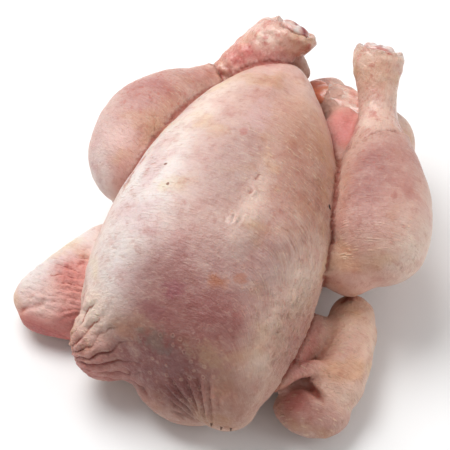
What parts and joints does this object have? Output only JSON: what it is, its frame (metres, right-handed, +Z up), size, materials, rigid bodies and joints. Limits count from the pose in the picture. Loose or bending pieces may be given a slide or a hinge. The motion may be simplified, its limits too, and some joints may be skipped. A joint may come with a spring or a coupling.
{
  "type": "whole raw chicken",
  "caption": "Whole raw chicken dressed for the oven, lying on its back with the breast up, legs beside the body and wings folded.",
  "frame": {"origin": "under the middle of the bird, on the surface that it rests on", "axes": "+Z up through the breast, -Y towards the neck end, +Y towards the tail end, +X to the bird's own right"},
  "size_m": [0.1918, 0.221, 0.0991],
  "materials": {
    "raw_skin": "raw poultry skin, moist and slightly translucent, pale cream to pink over dark pink flesh, finely wrinkled",
    "cartilage": "wet white joint cartilage with red marrow and blood at the two cut hocks",
    "raw_fat": "soft orange-yellow fat and translucent membrane beside the tail"
  },
  "bodies": {
    "root": {"chicken": "raw_skin"}
  },
  "joints": []
}
